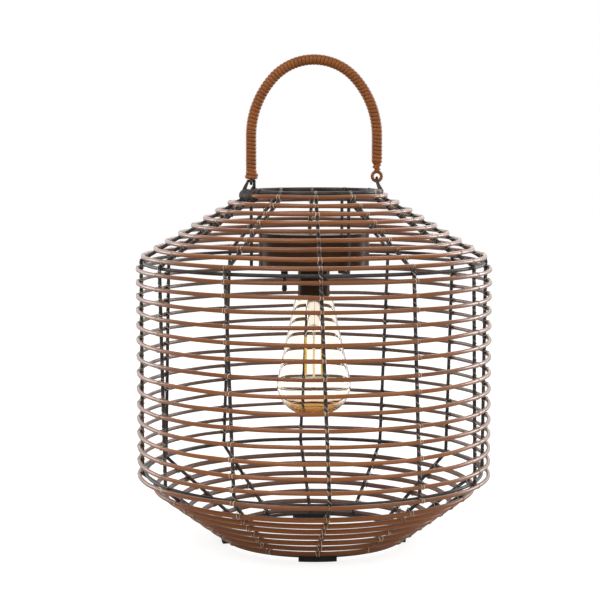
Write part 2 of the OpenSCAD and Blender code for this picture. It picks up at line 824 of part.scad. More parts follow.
// Body on the case's floor and a bushing down through it
module switch_body() {
    color("#30302e")
        translate([switch_x, switch_y, 0])
            difference() {
                union() {
                    translate([-switch_body_size[0] / 2, -switch_body_size[1] / 2, floor_top + seat_gap])
                        cube(switch_body_size);
                    translate([0, 0, case_low - bushing_drop])
                        cylinder(r = bushing_r, h = bushing_drop + case_floor + 1);
                }
                translate([0, 0, case_low - bushing_drop - cut]) cylinder(r = lip_r, h = lip_h + 2 * cut);
                translate([0, 0, case_low - bushing_drop + lip_h])
                    cylinder(r = bushing_bore_r, h = bushing_drop - lip_h + cut);
            }
}

module switch_nut() {
    color("silver")
        translate([switch_x, switch_y, case_low - seat_gap - nut_t])
            difference() {
                cylinder(r = nut_r, h = nut_t, $fn = 6);
                translate([0, 0, -cut]) cylinder(r = bushing_r + seat_gap, h = nut_t + 2 * cut);
            }
}

// Ball in the bushing, a slim shank and a fuller rounded end
module switch_lever() {
    tip_r = lever_tip_d / 2;
    color("#252220")
        translate([switch_x, switch_y, 0]) {
            translate([0, 0, ball_z]) sphere(r = ball_r);
            translate([0, 0, ball_z - 6]) cylinder(r = shank_r, h = 6);
            translate([0, 0, lever_low + tip_r])
                cylinder(r1 = tip_r, r2 = shank_r, h = ball_z - 5 - lever_low - tip_r);
            translate([0, 0, lever_low + tip_r]) sphere(r = bend_share * tip_r);
        }
}

// Cup that grips the bulb's neck, hung by its flange in the case's floor
module bulb_holder() {
    color("#2b2523")
        difference() {
            union() {
                translate([0, 0, holder_low]) cylinder(r = holder_r, h = floor_top - holder_low + flange_t);
                translate([0, 0, floor_top + seat_gap]) cylinder(r = flange_r, h = flange_t - seat_gap);
            }
            translate([0, 0, holder_low - cut]) cylinder(r = holder_bore_r, h = holder_bore_depth + cut);
            translate([0, 0, holder_low]) cylinder(r = lead_hole_r, h = 2 * holder_drop);
        }
}

module bulb_glass() {
    color("navajowhite", 0.4)
        rotate_extrude()
            difference() {
                polygon(glass_outline(0, neck_top_z));
                polygon(glass_outline(glass_wall, neck_top_z + 1));
            }
}

// Plug in the neck, flare, press and the slim rod down the middle
module bulb_stem() {
    color("whitesmoke") {
        translate([0, 0, neck_top_z - 4]) cylinder(r = stem_plug_r, h = 2);
        translate([0, 0, stem_flare_z]) cylinder(r1 = 7, r2 = 9.5, h = neck_top_z - 4 - stem_flare_z + 0.1);
        translate([0, 0, stem_press_z]) cylinder(r1 = 5, r2 = 7, h = stem_flare_z - stem_press_z + 0.1);
        translate([0, 0, stem_low_z]) cylinder(r = stem_rod_r, h = stem_press_z - stem_low_z + 0.1);
    }
}

module led_filaments() {
    color("khaki")
        for (a = [0 : 90 : 270])
            rotate(a)
                translate([filament_circle_r, 0, filament_low_z]) cylinder(d = filament_d, h = filament_len);
}

// Fine wires from the press and from the rod's low end to each filament
module filament_wires() {
    top_z = filament_low_z + filament_len;
    reach = filament_circle_r;
    color("silver")
        for (a = [0 : 90 : 270])
            rotate(a) {
                bent_wire([[4, 0, stem_press_z - seat_gap - 0.3],
                           [reach, 0, top_z + 2],
                           [reach, 0, top_z + seat_gap]], support_wire_d);
                bent_wire([[stem_rod_r + seat_gap, 0, stem_low_z + 1],
                           [reach, 0, stem_low_z + 1],
                           [reach, 0, filament_low_z - seat_gap]], support_wire_d);
            }
}

top_ring();
upper_shoulder_ring();
lower_shoulder_ring();
base_ring();
for (i = [0 : rib_count - 1])
    rib(i);
upper_hoops();
wall_hoops();
lower_hoops();
base_feet();
for (i = [0 : hanger_count - 1])
    hanger_leg(i);
link_left();
link_right();
lashing_left();
lashing_right();
handle_core();
handle_wrap();
handle_collar();
handle_eye_cover();
lamp_case();
battery_cover();
battery_tray();
tray_screws();
for (i = [0 : battery_count - 1])
    battery(i);
contact_springs();
contact_plates();
circuit_board();
board_parts();
hookup_wires();
switch_body();
switch_nut();
switch_lever();
bulb_holder();
bulb_glass();
bulb_stem();
led_filaments();
filament_wires();
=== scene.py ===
import json
import random
from math import atan2, cos, hypot, pi, radians, sin

import bpy
from mathutils import Matrix, Vector, noise


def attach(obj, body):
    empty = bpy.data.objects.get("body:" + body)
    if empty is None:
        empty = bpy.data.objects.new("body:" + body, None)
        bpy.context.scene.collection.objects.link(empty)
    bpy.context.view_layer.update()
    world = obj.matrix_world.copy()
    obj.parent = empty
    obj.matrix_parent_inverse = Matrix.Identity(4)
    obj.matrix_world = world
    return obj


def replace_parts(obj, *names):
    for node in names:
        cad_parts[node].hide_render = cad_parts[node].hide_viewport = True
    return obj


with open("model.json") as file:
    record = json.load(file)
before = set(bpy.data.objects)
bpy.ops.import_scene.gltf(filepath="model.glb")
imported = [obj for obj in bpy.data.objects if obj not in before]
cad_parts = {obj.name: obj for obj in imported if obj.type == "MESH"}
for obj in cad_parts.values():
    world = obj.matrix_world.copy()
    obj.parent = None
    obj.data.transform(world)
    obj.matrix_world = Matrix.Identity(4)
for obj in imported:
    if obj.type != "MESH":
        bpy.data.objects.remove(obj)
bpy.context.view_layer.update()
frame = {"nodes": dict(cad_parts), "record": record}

mm = 0.001
nodes = frame["nodes"]
up = Vector((0, 0, 1))


def linear(hexColour):
    parts = [int(hexColour[i:i + 2], 16) / 255 for i in (1, 3, 5)]
    return tuple(p / 12.92 if p <= 0.04045 else ((p + 0.055) / 1.055) ** 2.4 for p in parts) + (1.0,)


def addNode(tree, kind, settings=None, values=None, links=None):
    node = tree.nodes.new(kind)
    for name, value in (settings or {}).items():
        setattr(node, name, value)
    for socket, value in (values or {}).items():
        node.inputs[socket].default_value = value
    for socket, source in (links or {}).items():
        tree.links.new(source, node.inputs[socket])
    return node


def newMaterial(name, values):
    material = bpy.data.materials.new(name)
    material.use_nodes = True
    shader = material.node_tree.nodes["Principled BSDF"]
    for socket, value in values.items():
        shader.inputs[socket].default_value = value
    return material, material.node_tree, shader


def deselect():
    if bpy.context.object and bpy.context.object.mode != "OBJECT":
        bpy.ops.object.mode_set(mode="OBJECT")
    bpy.ops.object.select_all(action="DESELECT")


def pick(*objects):
    deselect()
    for o in objects:
        o.select_set(True)
    bpy.context.view_layer.objects.active = objects[0]


def startPiece(name):
    # the primitive just added becomes the piece
    piece = bpy.context.object
    piece.name = name
    piece.data.name = name
    return piece


def settle(piece):
    # the object goes to the origin, unturned and unscaled, with its place in its mesh
    pick(piece)
    bpy.ops.object.transform_apply(location=True, rotation=True, scale=True)


def applyAll(piece):
    pick(piece)
    for m in list(piece.modifiers):
        bpy.ops.object.modifier_apply(modifier=m.name)


def closeSkin(piece, reach=0.01 * mm):
    # merges doubles, then turns every face outwards
    pick(piece)
    bpy.ops.object.mode_set(mode="EDIT")
    bpy.ops.mesh.select_all(action="SELECT")
    bpy.ops.mesh.remove_doubles(threshold=reach)
    bpy.ops.mesh.normals_make_consistent(inside=False)
    bpy.ops.object.mode_set(mode="OBJECT")


def copyOf(piece, name):
    # each copy has its own mesh
    twin = piece.copy()
    twin.data = piece.data.copy()
    twin.name = name
    bpy.context.scene.collection.objects.link(twin)
    return twin


def joined(parts, name):
    pick(*parts)
    if len(parts) > 1:
        bpy.ops.object.join()
    return startPiece(name)


def finishPiece(piece, body, slotName, *materials):
    piece.data.materials.clear()
    for m in materials:
        piece.data.materials.append(m)
    settle(piece)
    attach(piece, body)
    return piece


def around(r, turn, z):
    # turn in degrees from straight ahead (-Y) towards +X
    t = radians(turn)
    return Vector((r * sin(t), -r * cos(t), z))


def rounded(wave, power):
    # a sine or cosine made squarer by a power under 1, its sign kept
    return abs(wave) ** power * (1 if wave > 0 else -1)


def newCurve(name, points, kind="POLY"):
    # an open line through points in mm
    line = bpy.data.curves.new(name, "CURVE")
    line.dimensions = "3D"
    spline = line.splines.new(kind)
    spline.points.add(len(points) - 1)
    for p, at in zip(spline.points, points):
        p.co = (*(Vector(at) * mm), 1)
    curve = bpy.data.objects.new(name, line)
    bpy.context.scene.collection.objects.link(curve)
    return curve


def tubeFrom(curve, name, width, roundness, capped):
    curve.data.bevel_depth = width / 2 * mm
    curve.data.bevel_resolution = roundness
    curve.data.use_fill_caps = capped
    pick(curve)
    bpy.ops.object.convert(target="MESH")
    return startPiece(name)


def caneMarks(piece):
    # what the cane's material reads at each point: outer face against inner face, the inner one darker
    # partly with painted shade, and its tone
    marks = piece.data.attributes
    for name in ("outerVsInnerShade", "tone"):
        marks.new(name, "FLOAT", "POINT")
    return marks["outerVsInnerShade"], marks["tone"]  # taken by name, because adding one moves those before it


cameraSettings = {
    "place": (0.0, -1.427, 0.3504),
    "pitchDown": 5.62,
    "turnLeft": 0.48,
    "focalPixels": 1661,
    "framePixels": 600,
    "sensorWidth": 36,
    "farthest": 30,
}

lightSettings = {
    "skyLevel": 0.56,
    "roomLevel": 0.1,
    "skyColour": "#ffffff",
    "backdropFrom": 0.15, "backdropTo": 0.8,  # share of +Y in the direction of a mirrored ray
    "ceilingFrom": 0.35, "ceilingTo": 0.9, "ceilingLevel": 0.4,
    "aim": (0, 0, 0.2),
    "keyPlace": (-0.9, -1.5, 1.7), "keySize": 1.4, "keyPower": 15,
    "fillPlace": (1.3, -1.2, 1.1), "fillSize": 1.4, "fillPower": 7,
    "backPlace": (0.2, 1.6, 1.5), "backSize": 1.6, "backPower": 10,
    "leftPlace": (-1.4, 0.9, 0.5), "leftSize": 0.9, "leftPower": 7,
    "rightPlace": (1.4, 0.9, 0.5), "rightSize": 0.9, "rightPower": 11,
    "floorHalf": 4.0,
    "floorColour": "#a9a6a4",
    "floorGlow": 0.8, "floorMirrored": 0.1,
}


def makeCamera(s):
    data = bpy.data.cameras.new("photoCamera")
    data.sensor_width = s["sensorWidth"]
    data.lens = s["sensorWidth"] * s["focalPixels"] / s["framePixels"]
    data.clip_end = s["farthest"]
    camera = bpy.data.objects.new("photoCamera", data)
    bpy.context.scene.collection.objects.link(camera)
    camera.location = s["place"]
    camera.rotation_euler = (radians(90 - s["pitchDown"]), 0, radians(s["turnLeft"]))
    bpy.context.scene.camera = camera


def makeLight(name, s):
    data = bpy.data.lights.new(name + "Lamp", "AREA")
    data.shape = "DISK"
    data.size = s[name + "Size"]
    data.energy = s[name + "Power"]
    lamp = bpy.data.objects.new(name + "Lamp", data)
    bpy.context.scene.collection.objects.link(lamp)
    lamp.location = s[name + "Place"]
    aim = Vector(s["aim"]) - Vector(s[name + "Place"])
    lamp.rotation_euler = aim.to_track_quat("-Z", "Y").to_euler()


def rayKinds(tree):
    # 1 where the camera looks, straight or through glass, and 1 where gloss mirrors
    path = addNode(tree, "ShaderNodeLightPath")
    seen = addNode(tree, "ShaderNodeMath", {"operation": "MAXIMUM"},
                   links={0: path.outputs["Is Camera Ray"], 1: path.outputs["Is Transmission Ray"]})
    return seen.outputs[0], path.outputs["Is Glossy Ray"]


def makeWorld(s):
    world = bpy.data.worlds.new("studio")
    bpy.context.scene.world = world
    world.use_nodes = True
    tree = world.node_tree
    tree.nodes.clear()
    seen, mirrored = rayKinds(tree)
    # gloss mirrors the white backdrop behind the lamp and a dimmer room in front of it
    direction = addNode(tree, "ShaderNodeTexCoord")
    apart = addNode(tree, "ShaderNodeSeparateXYZ", links={0: direction.outputs["Generated"]})
    backdrop = addNode(tree, "ShaderNodeMapRange",
                       values={"From Min": s["backdropFrom"], "From Max": s["backdropTo"],
                               "To Min": s["roomLevel"], "To Max": 1.0},
                       links={"Value": apart.outputs["Y"]})
    ceiling = addNode(tree, "ShaderNodeMapRange",
                      values={"From Min": s["ceilingFrom"], "From Max": s["ceilingTo"], "To Min": 1.0,
                              "To Max": s["ceilingLevel"]}, links={"Value": apart.outputs["Z"]})
    level = addNode(tree, "ShaderNodeMath", {"operation": "MULTIPLY"},
                    links={0: backdrop.outputs[0], 1: ceiling.outputs[0]})
    sky = addNode(tree, "ShaderNodeBackground",
                  values={"Color": linear(s["skyColour"]), "Strength": s["skyLevel"]})
    room = addNode(tree, "ShaderNodeBackground", values={"Color": (1, 1, 1, 1)},
                   links={"Strength": level.outputs[0]})
    white = addNode(tree, "ShaderNodeBackground", values={"Color": (1, 1, 1, 1), "Strength": 1.0})
    unseen = addNode(tree, "ShaderNodeMixShader",
                     links={0: mirrored, 1: sky.outputs[0], 2: room.outputs[0]})
    whole = addNode(tree, "ShaderNodeMixShader", links={0: seen, 1: unseen.outputs[0], 2: white.outputs[0]})
    addNode(tree, "ShaderNodeOutputWorld", links={"Surface": whole.outputs[0]})


def makeFloor(s):
    deselect()
    bpy.ops.mesh.primitive_plane_add(size=2 * s["floorHalf"], location=(0, 0, 0))
    floor = startPiece("floor")
    settle(floor)
    # matt white paper; a share of its own light for the camera keeps it white while shadows stay
    material, tree, shader = newMaterial("whitePaperFloor",
                                         {"Base Color": linear(s["floorColour"]), "Roughness": 0.9,
                                          "Specular IOR Level": 0.2})
    seen, mirrored = rayKinds(tree)
    share = addNode(tree, "ShaderNodeMath", {"operation": "MULTIPLY_ADD"}, {1: s["floorMirrored"]},
                    {0: mirrored, 2: seen})
    strength = addNode(tree, "ShaderNodeMath", {"operation": "MULTIPLY"}, {1: s["floorGlow"]},
                       {0: share.outputs[0]})
    glow = addNode(tree, "ShaderNodeEmission", values={"Color": (1, 1, 1, 1)},
                   links={"Strength": strength.outputs[0]})
    total = addNode(tree, "ShaderNodeAddShader", links={0: shader.outputs[0], 1: glow.outputs[0]})
    tree.links.new(total.outputs[0], tree.nodes["Material Output"].inputs["Surface"])
    floor.data.materials.append(material)


makeCamera(cameraSettings)
makeWorld(lightSettings)
for name in ("key", "fill", "back", "left", "right"):
    makeLight(name, lightSettings)
makeFloor(lightSettings)
bpy.context.scene.view_settings.view_transform = "Standard"
print("camera, lights and floor are up")

# Strands of the cage: cane core, varnished, nearly round and a little flatter inside.
hoopSettings = {
    "steps": 180,
    "profilePoints": 14,
    "width": {"upper": 3.75, "wall": 3.4, "lower": 4.3},
    "thickness": {"upper": 3.2, "wall": 3.2, "lower": 3.8},
    "ribTouch": 1.25,
    "squareness": 0.75, "outerShare": 0.57, "innerShare": 0.43, "sink": 0.07,  # of the strand's section
    "wander": 1.1, "wanderScale": 1.5, "wanderStep": 3.7,
    "ripple": 0.3, "rippleScale": 5, "rippleStep": 1.9, "rippleStart": 40,
    "twist": 9, "twistScale": 2.2, "twistStep": 5.3,
    "widthChange": 0.10, "widthScale": 1.7,
    # where the darker inner face begins: partly the raw inner side, partly painted shade
    "outerVsInnerShadeStart": 1.15, "outerVsInnerShadeDepth": 0.8,
    "seedStep": 7, "seedStart": 3,
    "upper": {"count": 9, "first": 3.6, "last": 103.94, "foot": (148.4, 244.5), "slope": 31.19},
    "wall": {"count": 15, "topZ": 237.8, "run": 176.8, "crowding": 2.8, "radius": 148.4},
    "lower": {"count": 7, "first": 16.2, "last": 85.91, "foot": (148.4, 60.5), "slope": 36.56},
}


def hoopPlaces(s):
    # every hoop as: group, radius and height of the rib's middle there, outward direction in the r-z plane
    places = []
    upper, wall, lower = s["upper"], s["wall"], s["lower"]
    slope = radians(upper["slope"])
    for k in range(upper["count"]):
        run = upper["last"] - (upper["last"] - upper["first"]) * k / (upper["count"] - 1)
        radius, height = upper["foot"][0] - run * cos(slope), upper["foot"][1] + run * sin(slope)
        places.append(("upper", radius, height, (sin(slope), cos(slope))))
    for k in range(wall["count"]):
        share = k / (wall["count"] - 1)
        height = wall["topZ"] - wall["run"] * share + wall["crowding"] * sin(2 * pi * share)
        places.append(("wall", wall["radius"], height, (1.0, 0.0)))
    slope = radians(lower["slope"])
    for k in range(lower["count"]):
        run = lower["first"] + (lower["last"] - lower["first"]) * k / (lower["count"] - 1)
        radius, height = lower["foot"][0] - run * cos(slope), lower["foot"][1] - run * sin(slope)
        places.append(("lower", radius, height, (sin(slope), -cos(slope))))
    return places


hoops = hoopPlaces(hoopSettings)


def hoopWander(number, angle, s=hoopSettings):
    # how far a hoop strays along the ribs, in mm
    slow, quick = s["wanderScale"], s["rippleScale"]
    near = Vector((slow * cos(angle), slow * sin(angle), number * s["wanderStep"]))
    far = Vector((quick * cos(angle), quick * sin(angle), number * s["rippleStep"] + s["rippleStart"]))
    return s["wander"] * noise.noise(near) + s["ripple"] * noise.noise(far)


def profileShape(piece, width, thickness, s):
    # turns a flat circle of radius 1 into the strand's section: x is outwards, z is across
    for v in piece.data.vertices:
        a = atan2(v.co.z, v.co.x)
        out = cos(a) * (s["outerShare"] if cos(a) > 0 else s["innerShare"]) - s["sink"]
        v.co = (out * thickness, 0, rounded(sin(a), s["squareness"]) * width / 2)


def addHoop(number, s):
    group, radius, height, out = hoops[number]
    deselect()
    bpy.ops.mesh.primitive_circle_add(vertices=s["profilePoints"], radius=1, rotation=(pi / 2, 0, 0))
    piece = startPiece("hoop%02d" % (number + 1))
    settle(piece)
    profileShape(piece, s["width"][group] * mm, s["thickness"][group] * mm, s)
    # the section leans with the rib and stands off its wire
    lean = atan2(out[1], out[0])
    off = s["ribTouch"] + s["thickness"][group] / 2
    centre = Vector((radius + off * out[0], 0, height + off * out[1])) * mm
    piece.data.transform(Matrix.Translation(centre) @ Matrix.Rotation(-lean, 4, "Y"))
    bpy.ops.object.mode_set(mode="EDIT")
    bpy.ops.mesh.select_all(action="SELECT")
    bpy.ops.mesh.spin(steps=s["steps"], angle=2 * pi, center=(0, 0, 0), axis=(0, 0, 1))
    bpy.ops.object.mode_set(mode="OBJECT")
    closeSkin(piece)
    shapeHoop(piece, number, centre, out, s)
    return piece


def shapeHoop(piece, number, centre, out, s):
    # the cane strays, twists and swells a little on its way round
    outward, across = Vector((out[0], out[1])), Vector((-out[1], out[0]))
    outerVsInnerShade, tone = caneMarks(piece)
    shade = random.Random(number * s["seedStep"] + s["seedStart"]).random()
    for v in piece.data.vertices:
        angle = atan2(v.co.y, v.co.x)
        local = Vector((hypot(v.co.x, v.co.y) - centre.x, v.co.z - centre.z))
        o, a = local.dot(outward), local.dot(across)
        spot = Vector((s["twistScale"] * cos(angle), s["twistScale"] * sin(angle), number * s["twistStep"]))
        turn = radians(s["twist"]) * noise.noise(spot)
        a *= 1 + s["widthChange"] * noise.noise(spot * s["widthScale"])
        o2, a2 = o * cos(turn) - a * sin(turn), o * sin(turn) + a * cos(turn)
        a2 += hoopWander(number, angle) * mm
        place = Vector((centre.x, centre.z)) + o2 * outward + a2 * across
        x, y = place.x * cos(angle), place.x * sin(angle)
        # the inner face gets the darker inner colour, partly painted shade
        outerVsInnerShade.data[v.index].value = max(0.0, min(1.0, (o / mm + s["outerVsInnerShadeStart"]) / s["outerVsInnerShadeDepth"]))
        tone.data[v.index].value = shade
        v.co = (x, y, place.y)
    pick(piece)
    bpy.ops.object.shade_smooth()


caneSettings = {
    # the inner colour is darker and greyer: partly the raw inner side, partly painted shade inside the cage
    "outer": "#a35c1c", "inner": "#86675a",
    "worn": 0.9,  # share of the fresh colours that is left
    "darkStrand": 0.82, "lightStrand": 1.15,
    "roughness": 0.47,
}


def caneMaterial(name, coat, s):
    # Split cane with a thin satin varnish: a warm brown that differs from strand to strand, a dull greyish
    # inner face that is partly the raw inner side and partly painted shade, and a sheen that whitens where
    # it is seen edge on.
    material, tree, shader = newMaterial(name,
                                         {"Roughness": s["roughness"], "IOR": 1.5, "Sheen Weight": coat / 6,
                                          "Sheen Roughness": 0.4, "Coat Weight": coat,
                                          "Coat Roughness": 0.2})
    outerVsInnerShade = addNode(tree, "ShaderNodeAttribute", {"attribute_name": "outerVsInnerShade"})
    tone = addNode(tree, "ShaderNodeAttribute", {"attribute_name": "tone"})
    lift = addNode(tree, "ShaderNodeMapRange",
                   values={"To Min": s["worn"] * s["darkStrand"], "To Max": s["worn"] * s["lightStrand"]},
                   links={"Value": tone.outputs["Fac"]})
    outer = addNode(tree, "ShaderNodeVectorMath", {"operation": "SCALE"}, {0: linear(s["outer"])[:3]},
                    {"Scale": lift.outputs[0]})
    inner = [s["worn"] * c for c in linear(s["inner"])[:3]] + [1.0]
    colour = addNode(tree, "ShaderNodeMix", {"data_type": "RGBA"}, {6: inner},
                     {0: outerVsInnerShade.outputs["Fac"], 7: outer.outputs[0]})
    tree.links.new(colour.outputs[2], shader.inputs["Base Color"])
    return material


varnishedCane = caneMaterial("varnishedCane", coat=0.85, s=caneSettings)
lowerCane = caneMaterial("rubbedCane", coat=0.3, s=caneSettings)
handleCane = caneMaterial("oiledHandleCane", coat=0.25, s=caneSettings)
groups = {"upper": [], "wall": [], "lower": []}
for number in range(len(hoops)):
    groups[hoops[number][0]].append(addHoop(number, hoopSettings))
for group, parts in groups.items():
    finish = lowerCane if group == "lower" else varnishedCane
    cane = finishPiece(joined(parts, group + "CaneHoops"), "cage", "rattan_strand", finish)
    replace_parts(cane, group + "_hoops")
print("cane hoops are wound on the cage")

# Thread that ties every hoop to every rib, and thin thread wound on the ribs between the hoops.
tieSettings = {
    "ribs": 12,
    "threadWidth": 0.62, "riseShare": 0.8,
    "seed": 11,
    "ribTopTurn": 1.7, "shoulderTurn": 2.0, "footTurn": 4.9, "ribEndTurn": 2.4,
    "shoulderTop": 244.5, "shoulderLow": 60.5, "ribTop": 300.39, "ribEnd": 6.95,
    # one loop in mm: aside from the rib, up along it, out from it
    "loop": [(-1.5, -1.9, 2.2), (-1.1, -1.6, 3.9), (-0.9, 0.0, 4.6), (-1.0, 1.6, 3.9), (-1.5, 2.0, 2.2),
             (-1.65, 1.6, 0.0), (0.0, 0.2, -1.7), (1.65, -1.6, 0.0), (1.5, -2.0, 2.0), (1.3, -1.6, 3.9),
             (1.1, 0.0, 4.6), (1.2, 1.6, 3.9), (1.5, 2.0, 2.2), (1.65, 1.6, 0.0), (0.0, -0.2, -2.0),
             (-1.65, -1.6, 0.0)],
    "rise": [(-0.5, 8.2, -1.65), (-1.75, 6.9, 0.0), (-1.0, 5.3, 1.5), (0.5, 4.0, 1.72), (1.65, 3.0, 0.6),
             (1.4, 2.4, -1.1)],
    "slant": 9, "spread": 0.22,
    # the lower hoops are thicker, and tied more roughly
    "lowerReach": 1.2, "lowerSlant": 24,
}


def threadShape(name, points, width, closed):
    # a length of thread as a slim tube, with few sides because it is copied hundreds of times
    line = newCurve(name, points)
    line.data.splines[0].use_cyclic_u = closed
    return tubeFrom(line, name, width, 0, not closed)


def ribTurn(rib, z, s):
    if z > s["shoulderTop"]:
        share = (z - s["shoulderTop"]) / (s["ribTop"] - s["shoulderTop"])
        turn = s["shoulderTurn"] + share * (s["ribTopTurn"] - s["shoulderTurn"])
    elif z > s["shoulderLow"]:
        share = (s["shoulderTop"] - z) / (s["shoulderTop"] - s["shoulderLow"])
        turn = s["shoulderTurn"] + share * (s["footTurn"] - s["shoulderTurn"])
    else:
        share = (s["shoulderLow"] - z) / (s["shoulderLow"] - s["ribEnd"])
        turn = s["footTurn"] + share * (s["ribEndTurn"] - s["footTurn"])
    return turn + 360 / s["ribs"] * rib


def crossing(number, rib, s):
    # the frame at a hoop and a rib: aside, up along the rib, out from it
    radius, height, out = hoops[number][1:]
    turn = ribTurn(rib, height, s)
    radial, aside = around(1, turn, 0), around(1, turn + 90, 0)
    outward = radial * out[0] + up * out[1]
    along = radial * -out[1] + up * out[0]
    stray = hoopWander(number, atan2(radial.y, radial.x))
    place = (radial * radius + up * height + along * stray) * mm
    return Matrix((aside, along, outward)).transposed().to_4x4(), place


def addTies(s):
    loop = threadShape("tieLoop", s["loop"], s["threadWidth"], True)
    rise = threadShape("tieRise", s["rise"], s["threadWidth"] * s["riseShare"], False)
    dice = random.Random(s["seed"])
    parts = []
    for number in range(len(hoops)):
        for rib in range(s["ribs"]):
            frameHere, place = crossing(number, rib, s)
            low = hoops[number][0] == "lower"
            reach, tilt = (s["lowerReach"], s["lowerSlant"]) if low else (1, s["slant"])
            wide = Matrix.Diagonal((1 + dice.uniform(-1, 1) * s["spread"], reach, reach, 1))
            slant = Matrix.Rotation(radians(dice.uniform(-1, 1) * tilt), 4, "Z")
            tie = copyOf(loop, "tie")
            tie.data.transform(Matrix.Translation(place) @ frameHere @ slant @ wide)
            parts.append(tie)
            # thread climbs the rib to the hoop above, which the top hoop lacks
            if number > 0 and not low:
                climb = copyOf(rise, "rise")
                climb.data.transform(Matrix.Translation(place) @ frameHere)
                parts.append(climb)
    for o in (loop, rise):
        bpy.data.objects.remove(o)
    return joined(parts, "tieThreads")


# Thread knots where each rib meets the top ring.
knotSettings = {
    "ringRadius": 57.0, "ringHeight": 303.7,
    "turns": 2.5, "coilRadius": 1.95, "pitch": 0.9, "coilSteps": 12, "threadWidth": 0.42,
    "looseEnd": [(1.5, 1.4, -2.4), (2.0, 0.6, -4.2)],
    "extraTurns": [62, 66, 69, 74, 78, 81, 93, 97, 102],  # a tangle beside the right link
}


def addKnots(s, t):
    coil = []
    for k in range(int(s["turns"] * s["coilSteps"]) + 1):
        a = 2 * pi * k / s["coilSteps"]
        along = s["pitch"] * (k / s["coilSteps"] - s["turns"] / 2)
        coil.append((along, s["coilRadius"] * cos(a), s["coilRadius"] * sin(a)))
    knot = threadShape("knot", coil + s["looseEnd"], s["threadWidth"], False)
    parts = []
    ribTurns = [t["ribTopTurn"] + 360 / t["ribs"] * rib for rib in range(t["ribs"])]
    for turn in ribTurns + s["extraTurns"]:
        frameHere = Matrix((around(1, turn + 90, 0), around(1, turn, 0), up)).transposed().to_4x4()
        tie = copyOf(knot, "knotCopy")
        place = around(s["ringRadius"], turn, s["ringHeight"]) * mm
        tie.data.transform(Matrix.Translation(place) @ frameHere)
        parts.append(tie)
    bpy.data.objects.remove(knot)
    return joined(parts, "ringKnots")


def threadMaterial():
    # Waxed polyester thread, pale cream: it catches the light as small bright ticks.
    material, tree, shader = newMaterial("waxedThread", {"Roughness": 0.5, "IOR": 1.5})
    place = addNode(tree, "ShaderNodeTexCoord")
    # changes about every 6 mm, so neighbouring ties differ
    grain = addNode(tree, "ShaderNodeTexNoise", values={"Scale": 160, "Detail": 2.0},
                    links={"Vector": place.outputs["Object"]})
    tint = addNode(tree, "ShaderNodeValToRGB", links={"Fac": grain.outputs["Fac"]})
    for stop, position, colour in zip(tint.color_ramp.elements, (0.35, 0.62), ("#857566", "#efe6d6")):
        stop.position, stop.color = position, linear(colour)
    tree.links.new(tint.outputs["Color"], shader.inputs["Base Color"])
    return material


waxedThread = threadMaterial()
finishPiece(addTies(tieSettings), "cage", "rattan_strand", waxedThread)
finishPiece(addKnots(knotSettings, tieSettings), "cage", "rattan_strand", waxedThread)
print("ties and knots are on the ribs")

# The handle: one strand of cane wound tightly on its wire, with thick end turns at the left and a covered
# eye at the right.
handleSettings = {
    "legX": 53.9, "y": 2.0, "archZ": 350.8,
    "sideRadius": 73.93, "sideCentre": 20.03, "joinAngle": 41.94,
    "topRadius": 47.0, "topCentre": 368.8,
    "leftStart": 319.6, "rightEnd": 326.2,
    "legSteps": 6, "sideSteps": 24, "topSteps": 40,
    "wrap": {"pitch": 3.25, "outer": 4.6, "inner": 2.0, "width": 3.3, "steps": 20, "crest": 0.45,
             "taper": 2.5},
    "eyeHeight": 316.45, "eyeRadius": 3.95, "eyeSteps": 48,
    "eye": {"pitch": 1.75, "outer": 1.5, "inner": 0.55, "width": 1.85, "steps": 10, "tone": 0.65},
    "neckHeights": (319.6, 321.8, 324.0, 326.2),
    "neck": {"pitch": 1.4, "outer": 2.2, "inner": 0.6, "width": 1.5, "steps": 14, "tone": 0.35},
    # single thick turns: name, shift aside, tilt, radius, radius of the strand, height
    "collarTurns": (("collarLow", 0.1, 3, 3.8, 1.85, 316.0), ("collarMiddle", 1.0, 20, 3.7, 1.7, 318.9),
                    ("collarTop", 0.5, 14, 3.0, 1.5, 321.4)),
    "neckTurns": (("neckLow", 0.3, -20, 1.9, 1.15, 321.9), ("neckMiddle", -0.4, 18, 2.3, 1.2, 323.8),
                  ("neckHigh", 0.2, -10, 2.4, 1.2, 325.8)),
    "turnLean": 4, "turnSteps": 36, "strandPoints": 12, "turnTone": 0.7,
}

# what every wound strand has
windingSettings = {
    "sectionPoints": 12, "squareness": 0.75,
    "drawIn": 0.42,  # how much narrower the last turns of a tapering winding get
    "unevenScale": 0.8, "unevenStart": 4.1,
    # how the colour darkens from the crest towards the wire: partly the raw inner face, partly painted
    # shade
    "outerVsInnerShadeSlope": 1.7, "outerVsInnerShadeStart": 0.35,
    "toneChange": 0.5, "toneScale": 0.45,
}


def arcPoints(x, y, z, radius, start, end, count):
    # an arc in the plane of the handle, without its first point
    turns = [start + (end - start) * k / count for k in range(1, count + 1)]
    return [Vector((x + radius * cos(a), y, z + radius * sin(a))) for a in turns]


def handleLine(s):
    # points of the handle's middle in mm, from the left leg over the arch to the right one
    join = radians(180 - s["joinAngle"])
    x, y, z, low, high, steps = s["legX"], s["y"], s["archZ"], s["leftStart"], s["rightEnd"], s["legSteps"]
    leftLeg = [Vector((-x, y, low + (z - low) * k / steps)) for k in range(steps + 1)]
    rightLeg = [Vector((x, y, z + (high - z) * k / steps)) for k in range(1, steps + 1)]
    leftBend = arcPoints(s["sideCentre"], y, z, s["sideRadius"], pi, join, s["sideSteps"])
    arch = arcPoints(0, y, s["topCentre"], s["topRadius"], join, pi - join, s["topSteps"])
    rightBend = arcPoints(-s["sideCentre"], y, z, s["sideRadius"], pi - join, 0, s["sideSteps"])
    return leftLeg + leftBend + arch + rightBend + rightLeg


